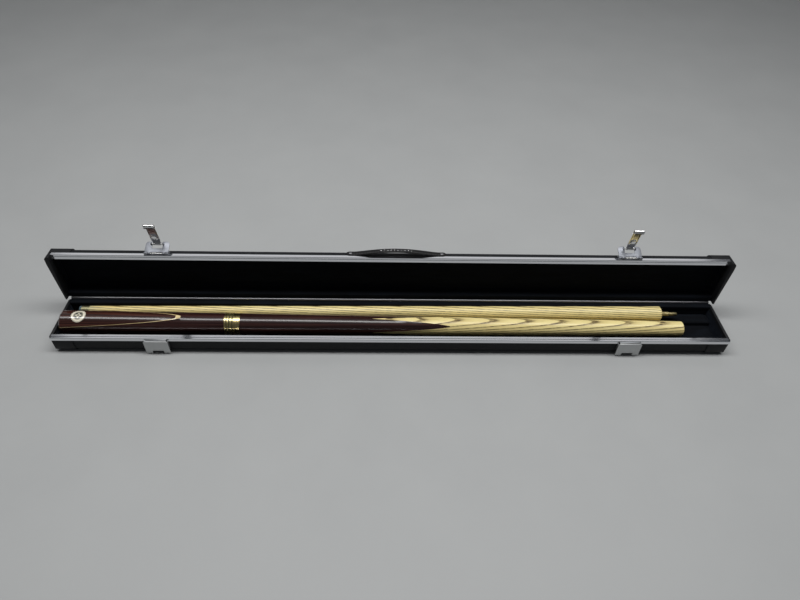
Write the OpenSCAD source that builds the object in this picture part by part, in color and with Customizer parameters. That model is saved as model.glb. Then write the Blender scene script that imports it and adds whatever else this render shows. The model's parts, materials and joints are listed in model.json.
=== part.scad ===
// Two-piece cue lying in its open, slim, aluminium-edged hard case.
// Origin: middle of the case's footprint, on the surface it stands on.
// +X runs along the case, +Y towards the hinges, +Z up. The lid is drawn open.

/* [Case] */
// Length of the case base over its end caps
case_l = 798; // [780:1:820]
// Width of the case over the aluminium edges
case_w = 64.6; // [64:0.1:70]
// Height of the base's rim above the surface
rim_z = 23.4; // [22.5:0.1:26]
// Depth of the lid below its rim
lid_depth = 15.2; // [15:0.1:20]
// Angle the lid is opened by, in degrees
lid_open = 92; // [90:1:92]
// Radius of the long outer edges of the shells
edge_r = 7; // [4:0.5:7]
// Gap between the two rims when closed
rim_gap = 0.3; // [0.2:0.1:0.6]

/* [Cue] */
// Length of the butt half
butt_l = 744.5; // [740:0.5:750]
// Length of the shaft half without its joint pin
shaft_l = 713.5; // [700:0.5:720]
// Diameter of the butt end
butt_d = 28.6; // [27:0.1:28.8]
// Diameter at the joint
joint_d = 18.5; // [17.5:0.1:19]
// Diameter of the tip end
tip_d = 9.5; // [8.5:0.1:10]
// Slope of the splice cuts, in degrees
splice_slope = 2.9; // [2.6:0.1:3.2]
// Slope of the four long points, in degrees
point_slope = 3; // [2.5:0.1:3.5]

/* [Hardware] */
// Distance of each latch from the middle
latch_x = 278; // [240:1:300]
// Width of the latch and catch plates
plate_w = 28; // [27:0.5:30]
// Distance of the outer lengths of hinge from the middle one
hinge_x = 264.4; // [264.4:0.1:265]
// Length of the carrying strap
strap_l = 118; // [100:1:130]

/* [Hidden] */
$fn = 48;

face = case_w / 2;              // outer face of the aluminium edges
case_half = case_l / 2;
// aluminium edge profile
rail_w = 6.5;
rail_t = 0.8;
rail_top = 1.3;
rail_lip = 4.2;
rail_end = 1.2;                 // plastic left beyond the end of a rail
groove_w = 1.1;
groove_d = 0.8;
groove_at = 2.2;                // from the outer face
tongue_w = 0.6;
tongue_h = 0.5;
tongue_half = case_half - rail_end - 2;
rail_bevel = 0.35;
// shells
board_y = face - rail_t;        // outer face of the boards
inner_y = face - rail_w;        // inner face of the lining and rails
wall_t = rail_w - 2 * rail_t;
base_floor = 2.1;
lid_roof = 2;
foot = 0.9;                     // end caps stand this far below the base shell
lid_proud = 1.6;                // and this far above the lid shell
cap_wall = 3;
cap_wrap = 25;
cap_corner = 3.5;
lid_over = 5.6;                 // lid caps reach past the base caps
lid_cap_taper = 3.6;            // but less at the hinges, by this much
skirt = 5.5;                    // and overlap them by this much when closed
skirt_gap = 0.4;
lining_t = 0.8;
pad_t = 2.5;
lid_pad_t = 1;
ledge_h = 5.7;
ledge_y = 10.7;
fit = 0.05;
floor_z = foot + base_floor + pad_t;
ledge_z = floor_z + ledge_h;
shell_half = case_half - cap_wall;
lid_half = case_half + lid_over;
lid_rim = rim_z + rim_gap;
lid_shell_half = case_half + skirt_gap;
lid_rail_half = case_half + 0.2;

// hinge
knuckle_r = 1.9;
hinge_pin_r = 1.05;
leaf_t = 0.8;
leaf_h = 12;
leaf_l = 264;
lid_knuckle_l = 12;
knuckle_gap = 0.5;
hinge_y = face + knuckle_r;
hinge_z = rim_z + rim_gap / 2;
hinge_xs = [-hinge_x, 0, hinge_x];
stop_l = 6.5;
stop_drop = 0.82;               // stop face below the pin's axis, lid closed
rivet_r = 1.2;
head_r = 2.1;
head_h = 0.5;

// latch, measured outwards from the face and upwards from the lid's rim
flap_pin_out = 2.3;
flap_pin_up = 1.6;
flap_pin_r = 0.8;
flap_knuckle_r = 1.3;
knuckle_l = 3.7;
flap_l = 15.3;
flap_t = 1;
flap_lift = 24;                 // how far the flap stands off the wall at rest
arm_pin_along = 12;
arm_pin_out = 3.9;
front_out = 1.8;                // inner faces of the catch's front sheet and the flap
arm_pin_r = 0.9;
arm_w = 10.4;
arm_l = 33.8;
arm_rest = 77;                  // swing of the arm from its latched place
arm_barrel_r = 1.8;
hook_w = 11.6;
hook_reach = 4;
hook_lip = 4.2;
slot_w = 12;
notch_w = 13;
notch_h = 4.5;
catch_top = 2.5;                // below the base's rim
catch_h = 19.8;
sheet = 1;

// strap
strap_w = 6.6;
strap_t = 2;
strap_bow = 5;
strap_up = 7.6;                 // above the lid's rim

// cue
butt_x = -393;                  // butt end, without its bumper
rest_gap = 0.5;
shaft_x = -384.5;               // face of the tip
butt_y = -3.9;
joint_r = joint_d / 2;
tip_r = tip_d / 2;
side_gap = 0.3;
taper = atan((butt_d / 2 - joint_r) / butt_l);
butt_tilt = taper;              // so that its lowest line lies level
shaft_tilt = atan((joint_r - tip_r) / shaft_l);
ring_at = [190.8, 193.9, 197.5];
ring_l = 1.8;
band_at = 201;
band_l = 7.8;
ring_proud = 0.25;
tenon_r = 7;
tenon_l = 32;
facet_tip = 137;                // front end of the badge splice
facet_turn = 8;                 // turned from straight up towards the front
veneer_t = 0.25;
blunt = 3;                      // feather edges end this far short
facet_v = 1;                    // slope of the badge cut's two halves towards its middle
point_v = 15;                   // and of the four point cuts
cut_l = 300;
badge_at = 22;
badge_d = 16.5;
badge_rim_w = 2.8;
badge_t = 0.8;
bumper_t = 2.4;
bumper_out = 0.8;
bumper_r = 11;
point_tip = 461;                // tips of the four dark points
points_end = point_tip - blunt;
sleeve_back = band_at + band_l;
core_back = 280;                // rear end of the pale wood inside the sleeve
socket_r = 6;
socket_l = 28;
thread_r = 3.3;
thread_l = 11.9;
pilot_r = 2.3;
pilot_l = 9.7;
ferrule_l = 9.5;
ferrule_tenon_r = 3.2;
tip_h = 3.5;
chamfer = 1.2;

function butt_r(x) = butt_d / 2 + (joint_r - butt_d / 2) * x / butt_l;
function shaft_r(x) = tip_r + (joint_r - tip_r) * x / shaft_l;

// ---- helpers ----
module along_x(a, b) translate([a, 0, 0]) rotate([90, 0, 90]) linear_extrude(b - a) children();
module along_y(w) rotate([90, 0, 0]) linear_extrude(w, center = true) children();
module x_rod(x0, x1, r0, r1) translate([x0, 0, 0]) rotate([0, 90, 0])
    cylinder(h = x1 - x0, r1 = r0, r2 = r1);
module block(x0, x1, y0, y1, z0, z1) translate([x0, y0, z0]) cube([x1 - x0, y1 - y0, z1 - z0]);

// Rectangle from low to high with its two lower corners rounded
module lower_rounded(x0, x1, y0, y1, r) {
    translate([x0, y0 + r]) square([x1 - x0, y1 - y0 - r]);
    translate([x0 + r, y0]) square([x1 - x0 - 2 * r, y1 - y0]);
    for (x = [x0 + r, x1 - r]) translate([x, y0 + r]) circle(r);
}

// Rectangle centred on the origin, with all its corners rounded
module rounded(w, h, r) {
    square([w, h - 2 * r], center = true);
    square([w - 2 * r, h], center = true);
    for (x = [-1, 1], y = [-1, 1]) translate([x * (w / 2 - r), y * (h / 2 - r)]) circle(r);
}

module in_base() translate([0, 0, rim_z]) children();
module lid_closed() translate([0, 0, rim_z + rim_gap]) mirror([0, 0, 1]) children();
module opened() translate([0, hinge_y, hinge_z]) rotate([-lid_open, 0, 0])
    translate([0, -hinge_y, -hinge_z]) children();
module in_lid() opened() lid_closed() children();
module left_and_right(x) for (s = [-1, 1]) translate([s * x, 0, 0]) children();

// ---- case halves: rim at z = 0, the body below it ----
module board_outline(depth) lower_rounded(-board_y, board_y, -depth, 0, edge_r);

module shell(half_l, depth, bottom_t) {
    along_x(-half_l, half_l) difference() {
        board_outline(depth);
        translate([-board_y + wall_t, bottom_t - depth]) square([2 * (board_y - wall_t), depth]);
        translate([-face, -rail_top]) square([case_w, rail_top + 1]);
    }
}

module rail_outline(mark) difference() {
    polygon([[0, -rail_lip], [0, -rail_bevel], [rail_bevel, 0], [rail_w - rail_bevel, 0],
        [rail_w, -rail_bevel], [rail_w, -rail_lip], [rail_w - rail_t, -rail_lip],
        [rail_w - rail_t, -rail_top], [rail_t, -rail_top], [rail_t, -rail_lip]]);
    if (mark == "groove") translate([groove_at, -groove_d]) square([groove_w, groove_d + 1]);
}

module rail(half_l, mark) along_x(-half_l, half_l) translate([-face, 0]) rail_outline(mark);

// Bead that drops into the other rail's groove, ending short of the base's end caps
module tongue() along_x(-tongue_half, tongue_half)
    translate([groove_at + (groove_w - tongue_w) / 2 - face, -rail_top / 2])
        square([tongue_w, rail_top / 2 + tongue_h]);

// The room that a pair of rails takes out of an end cap
module rail_room(half_l) for (s = [0, 1]) mirror([0, s, 0])
    block(-half_l - fit, half_l + fit, -face - 1, -inner_y + fit, -rail_lip - fit, skirt + 1);

// Right-hand end cap; over is how far its skirt stands above the rim
module end_cap(half_l, shell_l, depth, body_depth, wrap, rail_l, over, over_x) difference() {
    intersection() {
        along_x(half_l - wrap, half_l) lower_rounded(-face, face, -depth, over, edge_r + 0.5);
        translate([0, 0, -depth - 1]) linear_extrude(depth + over + 2)
            translate([half_l - wrap, 0]) rounded(2 * wrap, case_w, cap_corner);
        along_y(case_w + 2) lower_rounded(half_l - 3 * wrap, half_l, -depth, over + 1, edge_r);
    }
    along_x(half_l - wrap - 1, shell_l) board_outline(body_depth + fit);
    block(half_l - wrap - 1, shell_l, -face - 1, face + 1, -rail_lip - fit, over + 2);
    block(half_l - wrap - 1, over_x, -face - 1, face + 1, 0, over + 2);
    rail_room(rail_l);
}

module wall_ring(half_l, bottom, top) difference() {
    block(-half_l, half_l, -inner_y - lining_t, inner_y + lining_t, bottom, top);
    block(-half_l + lining_t, half_l - lining_t, -inner_y, inner_y, bottom - 1, top + 1);
}

// ---- base ----
module base_shell() color("#17181b") difference() {
    in_base() shell(shell_half, rim_z - foot, base_floor);
    left_and_right(latch_x) rivet_places("catch") rivet_hole(4);
    at_hinges() leaf_rivet_places() rivet_hole(4.5);
}
module base_rail_front() color("#c9ccd0") in_base() rail(case_half - rail_end, "groove");
// The rear rims have the front edges' section and are covered with the lining
module base_rim_rear() color("#0d0e14") in_base() mirror([0, 1, 0]) rail(case_half - rail_end, "plain");
module base_cap() in_base() end_cap(case_half, shell_half, rim_z, rim_z - foot, cap_wrap,
    case_half - rail_end, 0, case_half + 1);
module base_end_cap_left() color("#141518") mirror([1, 0, 0]) base_cap();
module base_end_cap_right() color("#141518") base_cap();
module base_wall_lining() color("#0d0e14")
    wall_ring(shell_half, foot + base_floor, rim_z - rail_lip);
module floor_pad() color("#0d0e14")
    block(-shell_half + lining_t, shell_half - lining_t, -inner_y, inner_y, foot + base_floor, floor_z);
module shaft_ledge() color("#0d0e14")
    block(-shell_half + lining_t, shell_half - lining_t, ledge_y, inner_y, floor_z, ledge_z);

// Pressed catch: a front sheet with a notch, folded back round its sides onto the board
module catch_plate() {
    top = rim_z - catch_top;
    back_bottom = 9;
    back_top = rim_z - rail_lip - 0.2;
    front = -face - front_out;
    translate([0, front, 0]) rotate([90, 0, 0]) linear_extrude(sheet) difference() {
        translate([0, top - catch_h / 2]) rounded(plate_w, catch_h, 2);
        translate([-notch_w / 2, top - catch_h - 1]) square([notch_w, notch_h + 1]);
    }
    block(-plate_w / 2 + 2, plate_w / 2 - 2, front - 0.5, -face, top - sheet, top);
    difference() {
        union() {
            for (x = [-plate_w / 2, plate_w / 2 - sheet])
                block(x, x + sheet, front - 0.5, -board_y, back_bottom, back_top);
            block(-plate_w / 2, plate_w / 2, -board_y - rail_t, -board_y, back_bottom, back_top);
        }
        rivet_places("catch") rivet_hole(4);
    }
}
module catch_plate_left() color("#b9bbbc") translate([-latch_x, 0, 0]) catch_plate();
module catch_plate_right() color("#b9bbbc") translate([latch_x, 0, 0]) catch_plate();

// ---- rivets: shank along +Y from the outer sheet into the board ----
module rivet_places(kind) {
    if (kind == "catch") for (x = [-8, 8]) translate([x, -board_y - rail_t, 14]) children();
    if (kind == "latch") for (x = [-10.5, 10.5])
        translate([x, -face - 0.8, lid_rim + 6.4]) children();
    if (kind == "strap") for (x = [-1, 1]) translate([x * (strap_l / 2 - 5), -board_y - strap_t,
        lid_rim + strap_up]) children();
}
module rivet_hole(depth) translate([0, -4, 0]) rotate([-90, 0, 0])
    cylinder(h = depth + 4.02, r = rivet_r + 0.02);
module rivet(depth) {
    translate([0, -head_h, 0]) rotate([-90, 0, 0]) cylinder(h = head_h, r1 = head_r - 0.5, r2 = head_r);
    rotate([-90, 0, 0]) cylinder(h = depth, r = rivet_r);
}
module catch_rivets() color("#8f9193") left_and_right(latch_x) rivet_places("catch") rivet(4);

// ---- hinges ----
module leaf(bore, knuckles) {
    difference() {
        union() {
            block(-leaf_l / 2, leaf_l / 2, face, face + leaf_t, -leaf_h, -knuckle_r - 0.3);
            for (k = knuckles) {
                block(k[0], k[1], face, face + leaf_t, -knuckle_r - 1, 0);
                translate([0, hinge_y, 0]) x_rod(k[0], k[1], knuckle_r, knuckle_r);
            }
        }
        translate([0, hinge_y, 0]) x_rod(-leaf_l, leaf_l, bore, bore);
        leaf_rivet_places() rivet_hole(4);
    }
}
module at_hinges() for (x = hinge_xs) translate([x, 0, hinge_z]) children();
module hinge_leaves_base() color("#9b9da0") at_hinges() leaf(hinge_pin_r + 0.01,
    [[-leaf_l / 2, -lid_knuckle_l / 2 - knuckle_gap], [lid_knuckle_l / 2 + knuckle_gap, leaf_l / 2]]);
module hinge_pins() color("#9b9da0") at_hinges() translate([0, hinge_y, 0])
    x_rod(-leaf_l / 2, leaf_l / 2, hinge_pin_r, hinge_pin_r);
module leaf_rivet_places() for (x = [-105, -35, 35, 105]) translate([x, face + leaf_t, -9])
    mirror([0, 1, 0]) children();
module hinge_rivets_base() color("#8f9193") at_hinges() leaf_rivet_places() rivet(4.5);
module hinge_leaves_lid() color("#9b9da0") opened() at_hinges() {
    mirror([0, 0, 1]) leaf(hinge_pin_r + 0.07, [[-lid_knuckle_l / 2, lid_knuckle_l / 2]]);
    block(-lid_knuckle_l / 2, lid_knuckle_l / 2, hinge_y + knuckle_r - 0.5, hinge_y + stop_l,
        -stop_drop, 0);
}
module hinge_rivets_lid() color("#8f9193") opened() at_hinges() mirror([0, 0, 1])
    leaf_rivet_places() rivet(4.5);

// ---- lid ----
module lid_shell() color("#17181b") opened() difference() {
    lid_closed() shell(lid_shell_half, lid_depth, lid_roof);
    left_and_right(latch_x) rivet_places("latch") rivet_hole(5);
    rivet_places("strap") rivet_hole(5);
    at_hinges() mirror([0, 0, 1]) leaf_rivet_places() rivet_hole(4.5);
}
module lid_rail_front() color("#c9ccd0") in_lid() {
    rail(lid_rail_half, "plain");
    tongue();
}
module lid_rim_rear() color("#0d0e14") in_lid() mirror([0, 1, 0]) rail(lid_rail_half, "plain");
module lid_cap() in_lid() difference() {
    end_cap(lid_half, lid_shell_half, lid_depth + lid_proud, lid_depth, cap_wrap + 1,
        lid_rail_half, skirt, case_half + skirt_gap);
    translate([0, 0, -30]) linear_extrude(60) polygon([[lid_half, -face + 10],
        [lid_half + 9, -face + 10], [lid_half + 9, face + 1], [lid_half - lid_cap_taper, face + 1]]);
}
module lid_end_cap_left() color("#141518") mirror([1, 0, 0]) lid_cap();
module lid_end_cap_right() color("#141518") lid_cap();
module lid_wall_lining() color("#0d0e14") in_lid()
    wall_ring(lid_shell_half, -lid_depth + lid_roof, -rail_lip);
module lid_pad() color("#0d0e14") in_lid()
    block(-lid_shell_half + lining_t, lid_shell_half - lining_t, -inner_y, inner_y,
        -lid_depth + lid_roof, -lid_depth + lid_roof + lid_pad_t);

// Carrying strap: flat ends on the wall, bowed out in the middle
module strap_outline() {
    h = strap_l / 2;
    polygon([[-h, 0], [-h + 10, 0], [-h + 33, strap_bow], [h - 33, strap_bow], [h - 10, 0], [h, 0],
        [h, strap_t / 2], [h - 1.5, strap_t], [h - 9.5, strap_t], [h - 32, strap_bow + strap_t],
        [32 - h, strap_bow + strap_t], [9.5 - h, strap_t], [1.5 - h, strap_t], [-h, strap_t / 2]]);
}
module handle_strap() color("#1d1e21") opened() difference() {
    translate([0, -board_y, rim_z + rim_gap + strap_up]) rotate([0, 0, 180])
        translate([0, 0, -strap_w / 2]) linear_extrude(strap_w) strap_outline();
    rivet_places("strap") rivet_hole(4);
}
module handle_rivets() color("#8f9193") opened() rivet_places("strap") rivet(5);

// ---- latch: drawn closed and latched, then lifted to its rest angles ----
flap_pin_y = -face - flap_pin_out;
flap_pin_z = lid_rim + flap_pin_up;
arm_pin_y = -face - arm_pin_out;
arm_pin_z = flap_pin_z + arm_pin_along;
module about(y, z, angle) translate([0, y, z]) rotate([angle, 0, 0]) translate([0, -y, -z]) children();

module latch_base() difference() {
    union() {
        block(-plate_w / 2, plate_w / 2, -face - 0.8, -face, lid_rim + 0.2, lid_rim + 8);
        block(-plate_w / 2, plate_w / 2, -face - 0.8, -board_y, lid_rim + rail_lip + 0.1, lid_rim + 8);
        for (x = [-plate_w / 2, plate_w / 2 - knuckle_l]) {
            translate([0, flap_pin_y, flap_pin_z])
                x_rod(x, x + knuckle_l, flap_knuckle_r, flap_knuckle_r);
            block(x, x + knuckle_l, flap_pin_y, -face, flap_pin_z - flap_knuckle_r, flap_pin_z + 0.9);
        }
    }
    translate([0, flap_pin_y, flap_pin_z]) x_rod(-20, 20, flap_pin_r + 0.01, flap_pin_r + 0.01);
    rivet_places("latch") rivet_hole(4);
}
module latch_base_left() color("#b9bbbc") opened() translate([-latch_x, 0, 0]) latch_base();
module latch_base_right() color("#b9bbbc") opened() translate([latch_x, 0, 0]) latch_base();
module latch_rivets() color("#8f9193") opened() left_and_right(latch_x) rivet_places("latch") rivet(5);
module flap_pins() color("#8f9193") opened() left_and_right(latch_x)
    translate([0, flap_pin_y, flap_pin_z]) x_rod(-plate_w / 2, plate_w / 2, flap_pin_r, flap_pin_r);

module flap() {
    bottom = flap_pin_z + flap_knuckle_r + 0.3;
    top = flap_pin_z + flap_l;
    difference() {
        union() {
            translate([0, -face - front_out, 0]) rotate([90, 0, 0]) linear_extrude(flap_t) intersection() {
                translate([0, top - 12]) rounded(plate_w - 0.6, 24, 4);
                translate([-plate_w / 2, bottom]) square([plate_w, top - bottom]);
            }
            for (s = [-1, 1]) {
                block(s * 8.4 - 1.6, s * 8.4 + 1.6, -face - front_out - flap_t, -face - front_out,
                    flap_pin_z, bottom + 1);
                translate([0, flap_pin_y, flap_pin_z])
                    x_rod(s * 8.4 - 1.6, s * 8.4 + 1.6, flap_knuckle_r, flap_knuckle_r);
            }
            for (s = [-1, 1]) {
                translate([0, arm_pin_y, arm_pin_z]) x_rod(s * 6.9 - 0.6, s * 6.9 + 0.6, 1.6, 1.6);
                block(s * 6.9 - 0.6, s * 6.9 + 0.6, arm_pin_y, -face - front_out,
                    arm_pin_z - 1.6, arm_pin_z + 1.6);
            }
        }
        translate([0, flap_pin_y, flap_pin_z]) x_rod(-20, 20, flap_pin_r + 0.07, flap_pin_r + 0.07);
        translate([0, arm_pin_y, arm_pin_z]) x_rod(-20, 20, arm_pin_r + 0.01, arm_pin_r + 0.01);
        block(-slot_w / 2, slot_w / 2, -face - 4, -face, arm_pin_z - 5.5, top + 1);
    }
}
module lifted_flap() opened() about(flap_pin_y, flap_pin_z, flap_lift) children();
module latch_flap_left() color("#a9abad") lifted_flap() translate([-latch_x, 0, 0]) flap();
module latch_flap_right() color("#a9abad") lifted_flap() translate([latch_x, 0, 0]) flap();
module arm_pin() translate([0, arm_pin_y, arm_pin_z]) x_rod(-7.5, 7.5, arm_pin_r, arm_pin_r);
module arm_pin_left() color("#8f9193") lifted_flap() translate([-latch_x, 0, 0]) arm_pin();
module arm_pin_right() color("#8f9193") lifted_flap() translate([latch_x, 0, 0]) arm_pin();

// Hook arm hanging straight down from its pin, as when latched
module hook_arm() {
    half = sheet / 2;
    dimple_r = 9;
    dimple_out = 7.4;
    hook_z = arm_pin_z - arm_l;
    difference() {
        union() {
            translate([0, arm_pin_y + half, 0]) rotate([90, 0, 0]) linear_extrude(sheet)
                polygon([[-4.5, arm_pin_z], [-4.5, arm_pin_z - 3], [-arm_w / 2, arm_pin_z - 7],
                    [-arm_w / 2, hook_z], [arm_w / 2, hook_z], [arm_w / 2, arm_pin_z - 7],
                    [4.5, arm_pin_z - 3], [4.5, arm_pin_z]]);
            translate([0, arm_pin_y, arm_pin_z]) x_rod(-4.5, 4.5, arm_barrel_r, arm_barrel_r);
            intersection() {
                translate([0, arm_pin_y + dimple_out, arm_pin_z - 13]) sphere(dimple_r, $fn = 64);
                block(-6, 6, arm_pin_y - 4, arm_pin_y, arm_pin_z - 20, arm_pin_z - 6);
            }
            // hook: bar through the notch, a lip behind the catch and a rolled end
            block(-hook_w / 2, hook_w / 2, arm_pin_y - half, arm_pin_y - half + hook_reach,
                hook_z, hook_z + 1.2);
            block(-hook_w / 2, hook_w / 2, arm_pin_y - half + hook_reach - sheet,
                arm_pin_y - half + hook_reach, hook_z, hook_z + hook_lip);
            block(-hook_w / 2, hook_w / 2, arm_pin_y - half, arm_pin_y + half, hook_z, hook_z + 6);
        }
        translate([0, arm_pin_y, arm_pin_z]) x_rod(-20, 20, arm_pin_r + 0.07, arm_pin_r + 0.07);
        translate([0, arm_pin_y + dimple_out + 1, arm_pin_z - 13]) sphere(dimple_r, $fn = 64);
    }
}
module swung_arm() lifted_flap() about(arm_pin_y, arm_pin_z, -arm_rest - flap_lift) children();
module latch_arm_left() color("#c4c7c9") swung_arm() translate([-latch_x, 0, 0]) hook_arm();
module latch_arm_right() color("#c4c7c9") swung_arm() translate([latch_x, 0, 0]) hook_arm();

// ---- cue butt: drawn along +X from the butt end, then laid on the floor pad ----
module in_front_channel() translate([butt_x, butt_y, floor_z + rest_gap + butt_d / 2])
    rotate([0, butt_tilt, 0]) children();
module butt_cone(x0, x1) x_rod(x0, x1, butt_r(x0), butt_r(x1));

// Everything above a V-shaped cut along -X from the origin, as far as front
module above_cut(front, v) intersection_for(s = [-1, 1]) rotate([s * v, 0, 0])
    translate([-cut_l, -30, 0]) cube([cut_l + front, 60, 60]);

// The room of the badge splice, its sloping cut raised by a distance
module above_facet(raise) rotate([facet_turn, 0, 0])
    translate([facet_tip, 0, butt_r(facet_tip) + raise]) rotate([0, -splice_slope, 0])
        above_cut(-raise / tan(splice_slope - taper) - blunt, facet_v);

module badge_punch(r) translate([badge_at, 0, 0]) rotate([facet_turn, 0, 0]) cylinder(h = 30, r = r);
module badge_skin() difference() {
    x_rod(badge_at - 12, badge_at + 12, butt_r(badge_at - 12) + 0.12, butt_r(badge_at + 12) + 0.12);
    x_rod(badge_at - 13, badge_at + 13, butt_r(badge_at - 13) - badge_t, butt_r(badge_at + 13) - badge_t);
}
module badge_room() intersection() {
    badge_skin();
    badge_punch(badge_d / 2 + fit);
}

module rear_butt_blank() intersection() {
    butt_cone(0, ring_at[0]);
    x_rod(0, ring_at[0] + 1, butt_d / 2 - chamfer - 0.5, butt_d / 2 - chamfer - 0.5 + ring_at[0] + 1);
}
module rear_butt() color("#3a2320") in_front_channel() difference() {
    rear_butt_blank();
    above_facet(-veneer_t);
    x_rod(ring_at[0] - tenon_l, ring_at[0] + 1, tenon_r, tenon_r);
    bumper_room();
}
module splice_veneer() color("#e3d3a4") in_front_channel() difference() {
    intersection() {
        rear_butt_blank();
        above_facet(-veneer_t);
    }
    above_facet(0);
    bumper_room();
    badge_room();
}
module badge_splice() color("#5d3327") in_front_channel() difference() {
    intersection() {
        rear_butt_blank();
        above_facet(0);
    }
    bumper_room();
    badge_room();
}
module badge_rim() color("#e9e2c8") in_front_channel() intersection() {
    badge_skin();
    difference() {
        badge_punch(badge_d / 2);
        badge_punch(badge_d / 2 - badge_rim_w);
    }
}
module badge_field() color("#23231f") in_front_channel() intersection() {
    badge_skin();
    badge_punch(badge_d / 2 - badge_rim_w - 0.02);
}
module bumper_room() {
    x_rod(-1, bumper_t - bumper_out, bumper_r + fit, bumper_r + fit);
    x_rod(-1, 24, 1.52, 1.52);
}
module butt_bumper() color("#101010") in_front_channel() difference() {
    union() {
        x_rod(-bumper_out, 0, bumper_r - 0.8, bumper_r);
        x_rod(0, bumper_t - bumper_out, bumper_r, bumper_r);
    }
    x_rod(-2, 0.5, 3.1, 3.1);
    x_rod(-2, 5, 1.6, 1.6);
}
module bumper_screw() color("#8f9193") in_front_channel() difference() {
    union() {
        x_rod(-0.6, 0.5, 3, 3);
        x_rod(0, 22, 1.5, 1.5);
    }
    block(-1, 0, -0.4, 0.4, -4, 4);
}
module ring(x0, x1, proud) difference() {
    x_rod(x0, x1, butt_r(x0) + proud, butt_r(x1) + proud);
    x_rod(x0 - 1, x1 + 1, tenon_r, tenon_r);
}
module brass_rings() color("#c8b257") in_front_channel()
    for (x = ring_at) ring(x, x + ring_l, ring_proud);
module ring_spacers() color("#4a4526") in_front_channel() {
    ring(ring_at[0] + ring_l, ring_at[1], -0.15);
    ring(ring_at[1] + ring_l, ring_at[2], -0.15);
    ring(ring_at[2] + ring_l, band_at, -0.15);
}
module brass_band() color("#c8b257") in_front_channel() {
    ring(band_at, band_at + 1, ring_proud + 0.1);
    ring(band_at + 1, band_at + band_l - 1, ring_proud - 0.1);
    ring(band_at + band_l - 1, band_at + band_l, ring_proud + 0.1);
}

// The room of the four dark points
module above_points() for (k = [0:3]) rotate([45 + 90 * k, 0, 0])
    translate([point_tip, 0, butt_r(point_tip)]) rotate([0, -point_slope, 0]) above_cut(0, point_v);
module rosewood_sleeve() color("#4a2a22") in_front_channel() {
    butt_cone(sleeve_back, core_back);
    intersection() {
        butt_cone(core_back, points_end);
        above_points();
    }
    x_rod(ring_at[0] - tenon_l + 0.5, sleeve_back, tenon_r - fit, tenon_r - fit);
}
module ash_forearm() color("#e6d295") in_front_channel() difference() {
    union() {
        difference() {
            butt_cone(core_back, points_end);
            above_points();
        }
        butt_cone(points_end, butt_l - chamfer);
        x_rod(butt_l - chamfer, butt_l, butt_r(butt_l - chamfer), joint_r - chamfer);
    }
    x_rod(butt_l - socket_l, butt_l + 1, socket_r, socket_r);
}
module joint_socket() color("#c8b257") in_front_channel() difference() {
    x_rod(butt_l - socket_l, butt_l, socket_r - 0.03, socket_r - 0.03);
    x_rod(butt_l - thread_l - 1, butt_l + 1, thread_r + 0.05, thread_r + 0.05);
    x_rod(butt_l - thread_l - pilot_l - 2.5, butt_l, pilot_r + 0.05, pilot_r + 0.05);
}

// ---- cue shaft: drawn along +X from the tip, leaning on the ledge and the rear lining ----
module in_rear_channel() translate([shaft_x, inner_y - side_gap - tip_r, ledge_z + side_gap + tip_r])
    rotate([0, -shaft_tilt, -shaft_tilt]) children();
module shaft_wood() color("#ead79a") in_rear_channel() difference() {
    union() {
        intersection() {
            x_rod(tip_h + ferrule_l, shaft_l, shaft_r(tip_h + ferrule_l), joint_r);
            x_rod(0, shaft_l, joint_r - chamfer + shaft_l, joint_r - chamfer);
        }
        x_rod(tip_h + 1.5, tip_h + ferrule_l, ferrule_tenon_r, ferrule_tenon_r);
    }
    x_rod(shaft_l - 26, shaft_l + 1, 4.5, 4.5);
}
module ferrule() color("#bfae6a") in_rear_channel() difference() {
    x_rod(tip_h, tip_h + ferrule_l, shaft_r(tip_h), shaft_r(tip_h + ferrule_l));
    x_rod(tip_h + 1.5, tip_h + ferrule_l + 1, ferrule_tenon_r + fit, ferrule_tenon_r + fit);
}
module leather_tip() color("#6f8798") in_rear_channel() intersection() {
    x_rod(0, tip_h, tip_r - 0.1, shaft_r(tip_h));
    translate([9.5, 0, 0]) sphere(9.5, $fn = 64);
}
module joint_pin() color("#c8b257") in_rear_channel() {
    x_rod(shaft_l - 26, shaft_l, 4.47, 4.47);
    x_rod(shaft_l, shaft_l + thread_l - 0.8, thread_r, thread_r);
    x_rod(shaft_l + thread_l - 0.8, shaft_l + thread_l, pilot_r - 0.3, pilot_r - 0.3);
    x_rod(shaft_l + thread_l, shaft_l + thread_l + pilot_l - 0.8, pilot_r, pilot_r);
    x_rod(shaft_l + thread_l + pilot_l - 0.8, shaft_l + thread_l + pilot_l, pilot_r, pilot_r - 0.7);
}

base_shell();
base_rail_front();
base_rim_rear();
base_end_cap_left();
base_end_cap_right();
base_wall_lining();
floor_pad();
shaft_ledge();
catch_plate_left();
catch_plate_right();
catch_rivets();
hinge_leaves_base();
hinge_pins();
hinge_rivets_base();
lid_shell();
lid_rail_front();
lid_rim_rear();
lid_end_cap_left();
lid_end_cap_right();
lid_wall_lining();
lid_pad();
hinge_leaves_lid();
hinge_rivets_lid();
latch_base_left();
latch_base_right();
latch_rivets();
flap_pins();
handle_strap();
handle_rivets();
latch_flap_left();
arm_pin_left();
latch_arm_left();
latch_flap_right();
arm_pin_right();
latch_arm_right();
rear_butt();
splice_veneer();
badge_splice();
badge_rim();
badge_field();
butt_bumper();
bumper_screw();
brass_rings();
ring_spacers();
brass_band();
rosewood_sleeve();
ash_forearm();
joint_socket();
shaft_wood();
ferrule();
leather_tip();
joint_pin();
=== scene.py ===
"""Looks of a two-piece cue lying in its open, aluminium-edged hard case."""

import json
import math

import bmesh
import bpy
from mathutils import Matrix, Vector, noise

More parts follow.
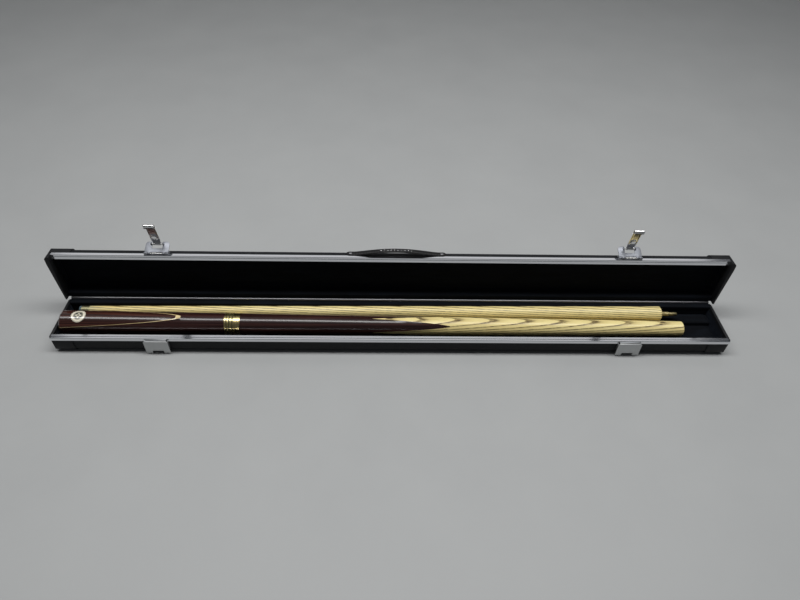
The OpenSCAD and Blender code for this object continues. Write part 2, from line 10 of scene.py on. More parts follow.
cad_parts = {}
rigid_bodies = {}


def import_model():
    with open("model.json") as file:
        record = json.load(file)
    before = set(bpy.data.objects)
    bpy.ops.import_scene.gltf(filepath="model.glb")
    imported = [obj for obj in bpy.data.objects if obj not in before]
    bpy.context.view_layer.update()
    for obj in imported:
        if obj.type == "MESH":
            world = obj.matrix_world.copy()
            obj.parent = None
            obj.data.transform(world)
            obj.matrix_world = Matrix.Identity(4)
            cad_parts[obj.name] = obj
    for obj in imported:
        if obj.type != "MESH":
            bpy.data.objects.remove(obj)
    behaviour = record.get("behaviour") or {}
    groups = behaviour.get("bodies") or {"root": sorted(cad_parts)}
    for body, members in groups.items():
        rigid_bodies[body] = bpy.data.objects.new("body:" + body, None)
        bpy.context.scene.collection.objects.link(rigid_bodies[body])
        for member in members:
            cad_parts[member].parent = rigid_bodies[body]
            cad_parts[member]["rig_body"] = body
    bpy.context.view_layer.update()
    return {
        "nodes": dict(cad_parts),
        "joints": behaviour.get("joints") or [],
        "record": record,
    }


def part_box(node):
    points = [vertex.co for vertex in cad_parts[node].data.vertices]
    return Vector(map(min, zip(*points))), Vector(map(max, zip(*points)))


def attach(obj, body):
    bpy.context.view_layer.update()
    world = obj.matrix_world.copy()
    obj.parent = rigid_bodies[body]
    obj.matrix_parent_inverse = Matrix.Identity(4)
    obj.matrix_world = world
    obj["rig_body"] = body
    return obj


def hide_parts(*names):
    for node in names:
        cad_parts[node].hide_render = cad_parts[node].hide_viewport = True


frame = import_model()
nodes = frame["nodes"]
joints = {j["name"]: j for j in frame["joints"]}
mounts = {m["name"]: m for m in frame["record"]["mounts"]}
MM = 0.001
X_AXIS = Vector((1, 0, 0))


# ---- shader maths as Python expressions ----
class Val:
    """A shader socket that takes part in Python expressions."""

    def __init__(self, finish, socket):
        self.finish = finish
        self.socket = socket

    def math(self, operation, *others, clamp=False):
        sockets = {0: self}
        for i, other in enumerate(others):
            sockets[i + 1] = other
        settings = {"operation": operation, "use_clamp": clamp}
        return self.finish.node("ShaderNodeMath", settings, sockets)

    def __add__(self, other):
        return self.math("ADD", other)

    def __radd__(self, other):
        return self.math("ADD", other)

    def __sub__(self, other):
        return self.math("SUBTRACT", other)

    def __rsub__(self, other):
        return (self * -1).math("ADD", other)

    def __mul__(self, other):
        return self.math("MULTIPLY", other)

    def __rmul__(self, other):
        return self.math("MULTIPLY", other)

    def __truediv__(self, other):
        return self.math("DIVIDE", other)

    def __pow__(self, other):
        return self.math("POWER", other)

    def clamp(self):
        return self.math("ADD", 0, clamp=True)

    def step(self, low, high):
        """0 below low, 1 above high, smooth between; low may be the larger."""
        settings = {"interpolation_type": "SMOOTHSTEP"}
        sockets = {0: self, 1: low, 2: high, 3: 0, 4: 1}
        if low > high:
            sockets.update({1: high, 2: low, 3: 1, 4: 0})
        return self.finish.node("ShaderNodeMapRange", settings, sockets)


class Finish:
    """One material: a Principled shader and the nodes that feed it."""

    def __init__(self, name, **numbers):
        self.material = bpy.data.materials.new(name)
        self.material.use_nodes = True
        self.tree = self.material.node_tree
        self.shader = self.tree.nodes["Principled BSDF"]
        for key, value in numbers.items():
            self.feed(key.replace("_", " ").title().replace("Ior", "IOR"), value)
        self.position = self.node("ShaderNodeTexCoord", out="Object")
        split = self.node("ShaderNodeSeparateXYZ", sockets={0: self.position})
        self.x, self.y, self.z = (Val(self, o) for o in split.socket.node.outputs)

    def link(self, target, value):
        if isinstance(value, Val):
            self.tree.links.new(value.socket, target)
        elif hasattr(target.default_value, "__len__") and len(value) == 3 != len(target.default_value):
            target.default_value = (*value, 1)
        else:
            target.default_value = value

    def feed(self, name, value):
        self.link(self.shader.inputs[name], value)

    def node(self, kind, settings=None, sockets=None, out=0):
        made = self.tree.nodes.new(kind)
        for key, value in (settings or {}).items():
            if key == "stops":
                self.stops(made.color_ramp, value)
            else:
                setattr(made, key, value)
        for key, value in (sockets or {}).items():
            self.link(made.inputs[key], value)
        return Val(self, made.outputs[out])

    def stops(self, ramp, places):
        while len(ramp.elements) < len(places):
            ramp.elements.new(0.5)
        for element, (at, colour) in zip(ramp.elements, places):
            element.position = at
            element.color = (*colour, 1)

    def mapped(self, scale, shift=(0, 0, 0)):
        sockets = {"Vector": self.position, "Scale": scale, "Location": shift}
        return self.node("ShaderNodeMapping", {}, sockets)

    def noise(self, scale, detail=2, roughness=0.5, shift=(0, 0, 0), distortion=0):
        """Noise with its own number of cells per metre along each axis."""
        sockets = {"Vector": self.mapped(scale, shift=shift), "Scale": 1, "Detail": detail,
                   "Roughness": roughness, "Distortion": distortion}
        return self.node("ShaderNodeTexNoise", {}, sockets)

    def cells(self, scale, feature="F1"):
        sockets = {"Vector": self.mapped(scale), "Scale": 1}
        return self.node("ShaderNodeTexVoronoi", {"feature": feature}, sockets)

    def mix(self, share, low, high):
        return self.node("ShaderNodeMix", {"data_type": "RGBA"}, {0: share, 6: low, 7: high}, out=2)

    def ramp(self, share, *places):
        return self.node("ShaderNodeValToRGB", {"stops": places}, {0: share})

    def bump(self, height, distance, strength):
        sockets = {"Height": height, "Distance": distance, "Strength": strength}
        self.feed("Normal", self.node("ShaderNodeBump", {}, sockets))


def even(count):
    return (count, count, count)


# ---- finishes ----
def leatherette():
    f = Finish("leatherette", roughness=0.5, specular_ior_level=0.2)
    grain = f.cells((900, 1100, 1100), "DISTANCE_TO_EDGE").step(0.0, 0.28)
    soft = f.noise(even(300), 3)
    worn = f.noise((14, 60, 60), 4, shift=(3, 1, 0)).step(0.55, 0.8)
    rubbed = worn * 0.6 + soft * 0.2
    f.feed("Base Color", f.mix(rubbed, (0.0060, 0.0066, 0.0080), (0.019, 0.021, 0.025)))
    f.feed("Roughness", 0.42 + soft * 0.2 + worn * 0.1)
    f.bump(grain * 0.7 + soft * 0.6, 0.00012, 0.8)
    return f.material


def cap_plastic():
    f = Finish("cap_plastic", specular_ior_level=0.22)
    spark = f.noise(even(2600), 2)
    scuff = f.noise((90, 300, 300), 5, 0.65, distortion=1.5).step(0.62, 0.72)
    pale = scuff * 0.5 + spark * 0.15
    f.feed("Base Color", f.mix(pale, (0.007, 0.0074, 0.0085), (0.030, 0.031, 0.034)))
    f.feed("Roughness", 0.36 + spark * 0.16 + scuff * 0.12)
    f.bump(spark, 0.00005, 0.6)
    return f.material


def edge_aluminium():
    f = Finish("edge_aluminium", metallic=1.0)
    lines = f.noise((8, 6000, 6000), 3, 0.7)
    cloud = f.noise((25, 200, 200), 3)
    nick = f.noise((60, 900, 900), 5, 0.7).step(0.68, 0.74)
    f.feed("Base Color", f.mix(lines * 0.5 + nick * 0.4, (0.84, 0.85, 0.88), (0.60, 0.61, 0.64)))
    f.feed("Roughness", 0.07 + lines * 0.07 + cloud * 0.05 + nick * 0.12)
    f.bump(lines + nick * 0.5, 0.00001, 0.15)
    return f.material


def plush():
    f = Finish("plush", roughness=0.95, specular_ior_level=0.12, sheen_weight=0.12,
               sheen_roughness=0.4, sheen_tint=(0.45, 0.58, 0.85))
    pile = f.noise((1900, 2100, 2100), 3, 0.7)
    brushed = f.noise((22, 130, 130), 4, 0.6, distortion=0.8).step(0.35, 0.75)
    lint = f.noise(even(900), 6, 0.8, shift=(2, 5, 1)).step(0.73, 0.77)
    nap = f.mix(brushed, (0.0009, 0.0012, 0.0020), (0.0028, 0.0042, 0.0066))
    f.feed("Base Color", f.mix(lint * 0.25 + pile * 0.06, nap, (0.035, 0.042, 0.052)))
    f.bump(pile + brushed * 0.5, 0.0004, 0.7)
    return f.material


def plated(name, colour, roughness, wear):
    f = Finish(name, metallic=1.0)
    cloud = f.noise(even(260), 4, 0.6)
    scratch = f.noise((1500, 240, 1500), 3, 0.75, distortion=2.0).step(0.6, 0.72)
    pits = f.cells(even(700)).step(0.10, 0.04)
    dull = tuple(c * 0.72 for c in colour)
    f.feed("Base Color", f.mix(scratch * 0.35 + pits * wear, colour, dull))
    f.feed("Roughness", roughness + cloud * 0.10 + scratch * 0.12 + pits * wear * 0.3)
    f.bump(cloud * 0.5 - pits * 0.6 - scratch * 0.2, 0.00004, 0.4)
    return f.material


def strap_leather():
    f = Finish("strap_leather", specular_ior_level=0.22)
    grain = f.cells(even(1500), "DISTANCE_TO_EDGE").step(0.0, 0.3)
    crease = f.noise((700, 90, 90), 4, 0.6, distortion=1.0)
    f.feed("Base Color", f.mix(crease.step(0.45, 0.8), (0.006, 0.006, 0.0065), (0.024, 0.023, 0.022)))
    f.feed("Roughness", 0.38 + crease * 0.25)
    f.bump(grain * 0.6 + crease, 0.00015, 0.7)
    return f.material


def thread(name, colour):
    f = Finish(name, roughness=0.7, sheen_weight=0.3)
    twist = f.noise((3000, 900, 3000), 2)
    f.feed("Base Color", f.mix(twist, tuple(c * 0.6 for c in colour), colour))
    f.bump(twist, 0.0001, 0.6)
    return f.material


def dark_wood(name, deep, warm, streaks, shift):
    f = Finish(name, roughness=0.24, coat_weight=0.30, coat_roughness=0.08, specular_ior_level=0.35)
    sweep = f.noise((5, 90, 90), 3, 0.55, shift=shift, distortion=0.6)
    fibre = f.noise((18, 900, 900), 4, 0.7, shift=shift)
    band = f.noise((2.5, 210, 210), 3, 0.5, shift=shift, distortion=1.2).step(0.42, 0.66)
    pore = f.noise((110, 3200, 3200), 3, 0.7).step(0.60, 0.70)
    tone = (sweep * 0.55 + band * streaks + fibre * 0.35 - 0.25).clamp()
    half_way = tuple((a + b) / 2 for a, b in zip(deep, warm))
    wood = f.ramp(tone, (0.0, deep), (0.55, half_way), (1.0, warm))
    f.feed("Base Color", f.mix(pore * 0.55, wood, tuple(c * 0.35 for c in deep)))
    f.feed("Roughness", 0.2 + fibre * 0.12 + pore * 0.1)
    f.bump(fibre * 0.3 - pore * 0.5, 0.00003, 0.35)
    return f.material


def growth_rings(f, turn, tilt, spacing, wander):
    """0 to 1 across each growth ring, with rings that slope gently along X."""
    drift = f.noise((3.2, 25, 25), 2, 0.5, shift=(turn, 4, 2)) - 0.5
    across = f.y * math.sin(turn) + f.z * math.cos(turn)
    place = (across + f.x * tilt + drift * wander) / spacing
    return place.math("FRACT")


CHALK_FADE = 30 * MM


def ash(name, turn, tilt, spacing, wander, chalk_from=None):
    """Pale wood with dark ring edges; chalk dust gathers where x is below chalk_from."""
    f = Finish(name, roughness=0.42, coat_weight=0.25, coat_roughness=0.2, specular_ior_level=0.45)
    ring = growth_rings(f, turn, tilt, spacing, wander)
    late = ring.step(0.25, 0.97) * ring.step(1.0, 0.97)
    edge = ring.step(0.62, 0.84) * ring.step(1.0, 0.93)
    fibre = f.noise((14, 1500, 1500), 4, 0.7)
    pore = f.noise((140, 900, 900), 3, 0.7, shift=(1, 2, 3)).step(0.42, 0.56)
    fleck = f.noise((70, 2200, 2200), 3, 0.75, shift=(5, 2, 3)).step(0.56, 0.68)
    cloud = f.noise((6, 60, 60), 3, shift=(7, 0, 1))
    pale = f.ramp(cloud * 0.6 + fibre * 0.4, (0.25, (0.76, 0.60, 0.23)), (0.55, (0.90, 0.77, 0.36)),
                  (0.8, (0.96, 0.88, 0.54)))
    dark = (0.060, 0.032, 0.010)
    toned = f.mix(late * 0.5, pale, (0.36, 0.235, 0.075))
    lines = (edge * (0.30 + pore * 0.75) + fleck * 0.30).clamp()
    wood = f.mix(lines * 0.92, toned, dark)
    if chalk_from is not None:
        patchy = f.noise(even(700), 4, 0.7) * 0.5 + 0.62
        dust = f.x.step(chalk_from + CHALK_FADE, chalk_from) * patchy
        wood = f.mix(dust.clamp() * 0.55, wood, (0.26, 0.29, 0.22))
    f.feed("Base Color", wood)
    f.feed("Roughness", 0.36 + fibre * 0.16 + edge * 0.12)
    f.bump(0 - lines * 0.8 + fibre * 0.3, 0.00005, 0.5)
    return f.material


def veneer():
    f = Finish("veneer", roughness=0.3, coat_weight=0.5, coat_roughness=0.1)
    fibre = f.noise((20, 1400, 1400), 4, 0.7)
    f.feed("Base Color", f.ramp(fibre, (0.3, (0.52, 0.36, 0.14)), (0.7, (0.88, 0.74, 0.42))))
    f.bump(fibre, 0.00003, 0.3)
    return f.material


def turned_brass(name, colour, dusted=0.0):
    f = Finish(name, metallic=1.0)
    turned = f.noise((7000, 40, 40), 3, 0.6)
    tarnish = f.noise(even(180), 4, 0.65).step(0.5, 0.8)
    f.feed("Base Color", f.mix(tarnish * 0.45 + dusted * 0.6, colour, (0.30, 0.27, 0.15)))
    f.feed("Roughness", 0.2 + dusted * 0.3 + turned * 0.12 + tarnish * 0.15)
    f.bump(turned, 0.00002, 0.4)
    return f.material


def spacer():
    f = Finish("spacer", coat_weight=0.5, coat_roughness=0.1)
    turned = f.noise((5000, 60, 60), 2)
    # Dark olive, a darkened brass tone: painted shade for the shaded grooves between the brass collar
    # rings; the turning noise varies it a little.
    f.feed("Base Color", f.mix(turned, (0.035, 0.030, 0.010), (0.085, 0.075, 0.028)))
    f.feed("Roughness", 0.28 + turned * 0.1)
    f.bump(turned, 0.00002, 0.3)
    return f.material


def chalked_leather():
    f = Finish("chalked_leather", specular_ior_level=0.2)
    dust = f.noise(even(2600), 5, 0.75)
    layers = f.noise((4200, 60, 60), 2)
    chalk = f.ramp(dust * 0.7 + layers * 0.3, (0.3, (0.035, 0.055, 0.065)), (0.65, (0.10, 0.145, 0.165)))
    f.feed("Base Color", chalk)
    f.feed("Roughness", 0.85 + dust * 0.1)
    f.bump(dust + layers * 0.4, 0.00015, 0.8)
    return f.material


def rubber():
    f = Finish("bumper_rubber", specular_ior_level=0.35)
    speck = f.noise(even(1800), 3)
    f.feed("Base Color", f.mix(speck, (0.010, 0.010, 0.010), (0.030, 0.029, 0.028)))
    f.feed("Roughness", 0.62 + speck * 0.15)
    f.bump(speck, 0.00008, 0.6)
    return f.material


BADGE_TURN = math.radians(8)


def badge_face(f):
    """Radius in the badge's plane and angle round it, from the badge's own middle."""
    low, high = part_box("badge_field")
    middle = (low + high) / 2
    along = f.x - middle.x
    across = (f.y - middle.y) * math.cos(BADGE_TURN) + (f.z - middle.z) * math.sin(BADGE_TURN)
    radius = (along * along + across * across) ** 0.5
    return radius, across.math("ARCTAN2", along)


def badge_cream():
    f = Finish("badge_cream", coat_weight=0.7, coat_roughness=0.06)
    radius, _ = badge_face(f)
    yellowed = f.noise(even(500), 3)
    line = radius.step(7.4 * MM, 7.6 * MM) * radius.step(8.0 * MM, 7.8 * MM)
    ivory = f.mix(yellowed, (0.74, 0.68, 0.52), (0.86, 0.82, 0.70))
    f.feed("Base Color", f.mix(line * 0.8, ivory, (0.10, 0.09, 0.07)))
    f.feed("Roughness", 0.22 + yellowed * 0.1)
    f.bump(yellowed, 0.00002, 0.2)
    return f.material


def badge_dark():
    f = Finish("badge_dark", coat_weight=0.7, coat_roughness=0.06)
    radius, angle = badge_face(f)
    petals = (angle * 4).math("COSINE") * (1.0 * MM) + 2.9 * MM
    bloom = (radius - petals).step(0.18 * MM, -0.18 * MM) * radius.step(0.9 * MM, 1.2 * MM)
    hoop = radius.step(4.4 * MM, 4.5 * MM) * radius.step(4.9 * MM, 4.8 * MM)
    speck = f.noise(even(900), 3)
    ground = f.mix(speck, (0.020, 0.022, 0.020), (0.045, 0.047, 0.042))
    f.feed("Base Color", f.mix((bloom + hoop).clamp() * 0.85, ground, (0.70, 0.66, 0.52)))
    f.feed("Roughness", 0.24 + speck * 0.1)
    f.bump(bloom + hoop, 0.00003, 0.3)
    return f.material


def tabletop():
    f = Finish("tabletop", specular_ior_level=0.35)
    cloud = f.noise(even(9), 5, 0.6)
    f.feed("Base Color", f.mix(cloud, (0.345, 0.352, 0.352), (0.395, 0.403, 0.40)))
    f.feed("Roughness", 0.42 + cloud * 0.15)
    f.bump(f.noise(even(160), 4), 0.0002, 0.25)
    return f.material


CHROME = plated("nickel_plate", (0.80, 0.80, 0.80), 0.07, 0.30)
STEEL = plated("steel_plate", (0.62, 0.62, 0.61), 0.26, 0.6)
PLUSH = plush()
CAP = cap_plastic()
STRAP = strap_leather()
BRASS = turned_brass("turned_brass", (0.72, 0.59, 0.27))
PIN_BRASS = turned_brass("pin_brass", (0.50, 0.42, 0.22), dusted=0.5)
CATCH = plated("dulled_nickel", (0.50, 0.51, 0.51), 0.42, 0.7)
SATIN = plated("satin_nickel", (0.25, 0.26, 0.285), 0.48, 0.5)
HINGE = plated("hinge_steel", (0.20, 0.20, 0.21), 0.32, 0.5)
FINISHES = {
    "leatherette": leatherette(),
    "edge_aluminium": edge_aluminium(),
    "cap_plastic": CAP,
    "plush": PLUSH,
    "nickel": CHROME,
    "steel": STEEL,
    "strap": STRAP,
    "dark_butt": dark_wood("dark_rosewood", (0.0060, 0.0026, 0.0028), (0.060, 0.022, 0.018),
                           0.50, (0, 0, 0)),
    "rosewood": dark_wood("rosewood", (0.0075, 0.0034, 0.0034), (0.075, 0.028, 0.023),
                          0.45, (4, 1, 2)),
    "badge_rosewood": dark_wood("badge_rosewood", (0.011, 0.0040, 0.0036), (0.095, 0.032, 0.022),
                                0.6, (9, 3, 1)),
    "veneer": veneer(),
    "ash": ash("ash_forearm", 0.05, -0.058, 0.0030, 0.0022),
    "badge_cream": badge_cream(),
    "badge_dark": badge_dark(),
    "brass": BRASS,
    "spacer": spacer(),
    "tip": chalked_leather(),
    "bumper": rubber(),
}
SLOT_OF = {s["node"]: s["material_slot"] for s in frame["record"]["subparts"]}


def coat(obj, material):
    obj.data.materials.clear()
    obj.data.materials.append(material)


for node_name, node in nodes.items():
    coat(node, FINISHES[SLOT_OF[node_name]])
chalked_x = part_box("leather_tip")[0].x + 6 * MM
coat(nodes["shaft_wood"], ash("ash_shaft", 0.70, 0.045, 0.0026, 0.0018, chalked_x))
for node_name in ("catch_plate_left", "catch_plate_right"):
    coat(nodes[node_name], CATCH)
for node_name in ("latch_base_left", "latch_base_right", "latch_flap_left", "latch_flap_right"):
    coat(nodes[node_name], SATIN)
for node_name in ("hinge_leaves_base", "hinge_leaves_lid", "hinge_pins"):
    coat(nodes[node_name], HINGE)
coat(nodes["ferrule"], turned_brass("dusty_brass", (0.36, 0.35, 0.22), dusted=0.7))


# ---- making pieces ----
def new_piece(name, bm, body, material, slot, *replaced):
    """A finished mesh at the origin that rides on a body and stands for CAD nodes."""
    mesh = bpy.data.meshes.new(name)
    bm.to_mesh(mesh)
    bm.free()
    obj = bpy.data.objects.new(name, mesh)
    bpy.context.scene.collection.objects.link(obj)
    coat(obj, material)
    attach(obj, body)
    if replaced:
        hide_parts(*replaced)
    return obj


def smooth(obj, degrees=35):
    obj.data.shade_smooth()
    obj.data.set_sharp_from_angle(angle=math.radians(degrees))


def loft(bm, rings, closed=False):
    """Skins a row of equally long point rings, and closes its ends."""
    rows = [[bm.verts.new(p) for p in ring] for ring in rings]
    pairs = list(zip(rows, rows[1:]))
    if closed:
        pairs.append((rows[-1], rows[0]))
    for low, high in pairs:
        for i in range(len(low)):
            j = (i + 1) % len(low)
            bm.faces.new((low[i], low[j], high[j], high[i]))
    if not closed:
        bm.faces.new(rows[0][::-1])
        bm.faces.new(rows[-1])


def outward(bm):
    bmesh.ops.recalc_face_normals(bm, faces=bm.faces)


WELD = 2e-7


def softened(node_name, width, segments=2):
    """A copy of a CAD node with its sharp edges rounded."""
    source = nodes[node_name]
    bm = bmesh.new()
    bm.from_mesh(source.data)
    bmesh.ops.remove_doubles(bm, verts=bm.verts, dist=WELD)
    bmesh.ops.dissolve_limit(bm, angle_limit=math.radians(1.5), verts=bm.verts, edges=bm.edges)
    sharp = [e for e in bm.edges if e.is_manifold and e.calc_face_angle(0) > math.radians(35)]
    bmesh.ops.bevel(bm, geom=sharp, offset=width, segments=segments, profile=0.5,
                    affect="EDGES", clamp_overlap=True)
    body = source["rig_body"]
    slot = SLOT_OF[node_name]
    obj = new_piece(node_name + "_eased", bm, body, source.data.materials[0], slot, node_name)
    smooth(obj, 40)


for end_cap in ("base_end_cap_left", "base_end_cap_right", "lid_end_cap_left", "lid_end_cap_right"):
    softened(end_cap, 0.35 * MM)
for flocked_rim in ("base_rim_rear", "lid_rim_rear"):
    softened(flocked_rim, 0.3 * MM, 3)
for pressing in ("catch_plate_left", "catch_plate_right", "latch_base_left", "latch_base_right",
                 "latch_flap_left", "latch_flap_right"):
    softened(pressing, 0.14 * MM)


# ---- lid frame: the lid's pieces are made closed, then opened about the hinge ----
hinge = joints["lid_hinge"]
hinge_at = Vector(hinge["pos_m"])
lid_turn = math.radians(-hinge["range_deg"][1])
OPENED = (Matrix.Translation(hinge_at) @ Matrix.Rotation(lid_turn, 4, "X")
          @ Matrix.Translation(-hinge_at))


def closed_box(node_name):
    """Lowest and highest corner of a lid node with the lid closed."""
    back = OPENED.inverted()
    points = [back @ v.co for v in nodes[node_name].data.vertices]
    low = Vector(min(p[i] for p in points) for i in range(3))
    high = Vector(max(p[i] for p in points) for i in range(3))
    return low, high


# ---- plush lining ----
PAD_SLICES = 160
PANEL_STEP = 6 * MM
LINING_T = 0.8 * MM


def ripple(x, y, z, size):
    """A slow unevenness with a finer one on top."""
    place = Vector((x, y, z))
    return noise.noise(place * 70) * size + noise.noise(place * 260) * size * 0.3


def pad_rings(low, high, up, crown, corner, slices, steps=7):
    """Rings along X of a padded slab whose soft side faces up (1) or down (-1)."""
    width, depth = high.y - low.y, high.z - low.z
    middle_y = (low.y + high.y) / 2
    back = low.z if up > 0 else high.z
    rings = []
    for s in range(slices + 1):
        t = s / slices
        x = low.x + (high.x - low.x) * t
        end = min(x - low.x, high.x - x)
        squeeze = math.sqrt(max(0.0, 1 - (1 - min(end / corner, 1)) ** 2))
        height = depth - corner * 0.6 * (1 - squeeze)
        half = width / 2 - corner * 0.2 * (1 - squeeze)
        ring = [(x, middle_y - half, back), (x, middle_y + half, back)]
        for k in range(steps + 1):
            a = math.pi / 2 * k / steps
            y = middle_y + half - corner * (1 - math.cos(a))
            ring.append((x, y, back + up * (height - corner * (1 - math.sin(a)) * 0.9)))
        for k in range(1, 16):
            share = k / 16
            y = middle_y + half - corner - (2 * half - 2 * corner) * share
            rise = crown * math.sin(math.pi * share) ** 0.6 + ripple(x, y, back, 0.12 * MM)
            ring.append((x, y, back + up * (height + rise * squeeze)))
        for k in range(steps + 1):
            a = math.pi / 2 * (1 - k / steps)
            y = middle_y - half + corner * (1 - math.cos(a))
            ring.append((x, y, back + up * (height - corner * (1 - math.sin(a)) * 0.9)))
        rings.append(ring)
    return rings


def wall_panel(bm, start, end, inward, z0, z1, turn):
    """A thin padded panel standing along a wall from start to end, (x, y) each."""
    length = math.hypot(end[0] - start[0], end[1] - start[1])
    along = Vector((end[0] - start[0], end[1] - start[1], 0)) / length
    inner = Vector((inward[0], inward[1], 0))
    rings = []
    slices = max(6, int(length / PANEL_STEP))
    for s in range(slices + 1):
        base = Vector((start[0], start[1], 0)) + along * (length * s / slices)
        ring = [base + Vector((0, 0, z0)), base + Vector((0, 0, z1))]
        for k in range(9):
            share = k / 8
            z = z1 + (z0 - z1) * share
            puff = LINING_T * (0.55 + 0.45 * math.sin(math.pi * share) ** 0.5)
            soft = ripple(base.x, base.y, z, 0.05 * MM)
            ring.append(base + inner * (puff + soft) + Vector((0, 0, z)))
        rings.append([turn @ p for p in ring] if turn else ring)
    loft(bm, rings)


def walls(name, low, high, body, replaced, turn=None):
    """Four wall panels round the inside of a box; turn opens the lid's."""
    bm = bmesh.new()
    x0, y0, z0 = low
    x1, y1, z1 = high
    front, rear = y0 + LINING_T, y1 - LINING_T
    wall_panel(bm, (x0, y0), (x1, y0), (0, 1), z0, z1, turn)
    wall_panel(bm, (x0, y1), (x1, y1), (0, -1), z0, z1, turn)
    wall_panel(bm, (x0, front), (x0, rear), (1, 0), z0, z1, turn)
    wall_panel(bm, (x1, front), (x1, rear), (-1, 0), z0, z1, turn)
    outward(bm)
    obj = new_piece(name, bm, body, PLUSH, "plush", replaced)
    smooth(obj, 50)
    return obj


def pad(name, low, high, up, crown, corner, body, replaced, turn=None):
    bm = bmesh.new()
    rings = pad_rings(low, high, up, crown, corner, PAD_SLICES)
    if turn:
        rings = [[turn @ Vector(p) for p in ring] for ring in rings]
    loft(bm, rings)
    outward(bm)
    obj = new_piece(name, bm, body, PLUSH, "plush", replaced)
    smooth(obj, 60)
    return obj


floor_low, floor_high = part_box("floor_pad")
floor_plush = pad("floor_plush", floor_low, floor_high, 1, 0.3 * MM, 0.9 * MM,
                  "case_base", "floor_pad")
ledge_low, ledge_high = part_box("shaft_ledge")
ledge_plush = pad("ledge_plush", ledge_low, ledge_high, 1, 0.15 * MM, 1.6 * MM,
                  "case_base", "shaft_ledge")
wall_low, wall_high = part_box("base_wall_lining")
base_walls = walls("base_wall_plush", wall_low, wall_high, "case_base", "base_wall_lining")
roof_low, roof_high = closed_box("lid_pad")
lid_plush = pad("lid_plush", roof_low, roof_high, -1, 0.3 * MM, 0.5 * MM,
                "case_lid", "lid_pad", OPENED)
rim_low, rim_high = closed_box("lid_wall_lining")
lid_walls = walls("lid_wall_plush", rim_low, rim_high, "case_lid", "lid_wall_lining", OPENED)


# ---- carrying strap ----
strap_low, strap_high = closed_box("handle_strap")
wall_y = strap_high.y
strap_mid_z = (strap_low.z + strap_high.z) / 2
strap_half = (strap_high.x - strap_low.x) / 2
STRAP_T = 2.0 * MM
STRAP_BOW = strap_high.y - strap_low.y - STRAP_T
STRAP_END = 9 * MM
STRAP_SLICES = 96
STRAP_POINTS = 28


def strap_rise(x):
    """How far the strap's underside stands off the wall at x."""
    t = min(abs(x) / (strap_half - STRAP_END), 1.0)
    return STRAP_BOW * (1 - t * t) ** 1.4


def make_strap():
    bm = bmesh.new()
    rings = []
    half_w = (strap_high.z - strap_low.z) / 2
    for s in range(STRAP_SLICES + 1):
        x = -strap_half + 2 * strap_half * s / STRAP_SLICES
        end = strap_half - abs(x)
        narrow = math.sqrt(1 - (1 - min(end / (3 * MM), 1)) ** 2) if end > 0 else 0.0
        thin = 0.5 + 0.5 * min(end / (4 * MM), 1)
        ring = []
        for k in range(STRAP_POINTS):
            a = 2 * math.pi * k / STRAP_POINTS
            c, d = math.cos(a), math.sin(a)
            w = math.copysign(abs(c) ** 0.45, c) * half_w * (0.55 + 0.45 * narrow)
            h = math.copysign(abs(d) ** 0.5, d) * (STRAP_T / 2 * thin)
            if d > 0.3:
                h -= 0.16 * MM * math.exp(-((abs(w) - half_w * 0.68) / (0.35 * MM)) ** 2)
            y = wall_y - strap_rise(x) - STRAP_T / 2 * thin - h
            ring.append(OPENED @ Vector((x, y, strap_mid_z + w)))
        rings.append(ring)
    loft(bm, rings)
    outward(bm)
    obj = new_piece("carrying_strap", bm, "case_lid", STRAP, "strap", "handle_strap")
    smooth(obj, 60)


make_strap()


# ---- repeated small pieces, laid out by geometry nodes ----
def scatter_tree(name):
    """Instances one lathe-round bead on every point, turned to its facing attribute."""
    tree = bpy.data.node_groups.new(name, "GeometryNodeTree")
    face = tree.interface
    face.new_socket(name="Geometry", in_out="INPUT", socket_type="NodeSocketGeometry")
    sizes = [face.new_socket(name=n, in_out="INPUT", socket_type=k) for n, k in (
        ("Size", "NodeSocketVector"), ("Sides", "NodeSocketInt"), ("Finish", "NodeSocketMaterial"))]
    face.new_socket(name="Geometry", in_out="OUTPUT", socket_type="NodeSocketGeometry")
    source = tree.nodes.new("NodeGroupInput")
    target = tree.nodes.new("NodeGroupOutput")
    bead = tree.nodes.new("GeometryNodeMeshUVSphere")
    bead.inputs["Rings"].default_value = 8
    bead.inputs["Radius"].default_value = 1
    shape = tree.nodes.new("GeometryNodeTransform")
    facing = tree.nodes.new("GeometryNodeInputNamedAttribute")
    facing.data_type = "FLOAT_VECTOR"
    facing.inputs["Name"].default_value = "facing"
    lay = tree.nodes.new("GeometryNodeInputNamedAttribute")
    lay.data_type = "FLOAT_VECTOR"
    lay.inputs["Name"].default_value = "lay"
    up = tree.nodes.new("FunctionNodeAlignRotationToVector")
    up.axis = "Z"
    ahead = tree.nodes.new("FunctionNodeAlignRotationToVector")
    ahead.axis = "X"
    ahead.pivot_axis = "Z"
    place = tree.nodes.new("GeometryNodeInstanceOnPoints")
    real = tree.nodes.new("GeometryNodeRealizeInstances")
    paint = tree.nodes.new("GeometryNodeSetMaterial")
    link = tree.links.new
    link(source.outputs["Sides"], bead.inputs["Segments"])
    link(bead.outputs["Mesh"], shape.inputs["Geometry"])
    link(source.outputs["Size"], shape.inputs["Scale"])
    link(facing.outputs["Attribute"], up.inputs["Vector"])
    link(up.outputs["Rotation"], ahead.inputs["Rotation"])
    link(lay.outputs["Attribute"], ahead.inputs["Vector"])
    link(source.outputs["Geometry"], place.inputs["Points"])
    link(shape.outputs["Geometry"], place.inputs["Instance"])
    link(ahead.outputs["Rotation"], place.inputs["Rotation"])
    link(place.outputs["Instances"], real.inputs["Geometry"])
    link(real.outputs["Geometry"], paint.inputs["Geometry"])
    link(source.outputs["Finish"], paint.inputs["Material"])
    link(paint.outputs["Geometry"], target.inputs["Geometry"])
    return tree, [s.identifier for s in sizes]


BEADS, BEAD_INPUTS = scatter_tree("beads_on_points")


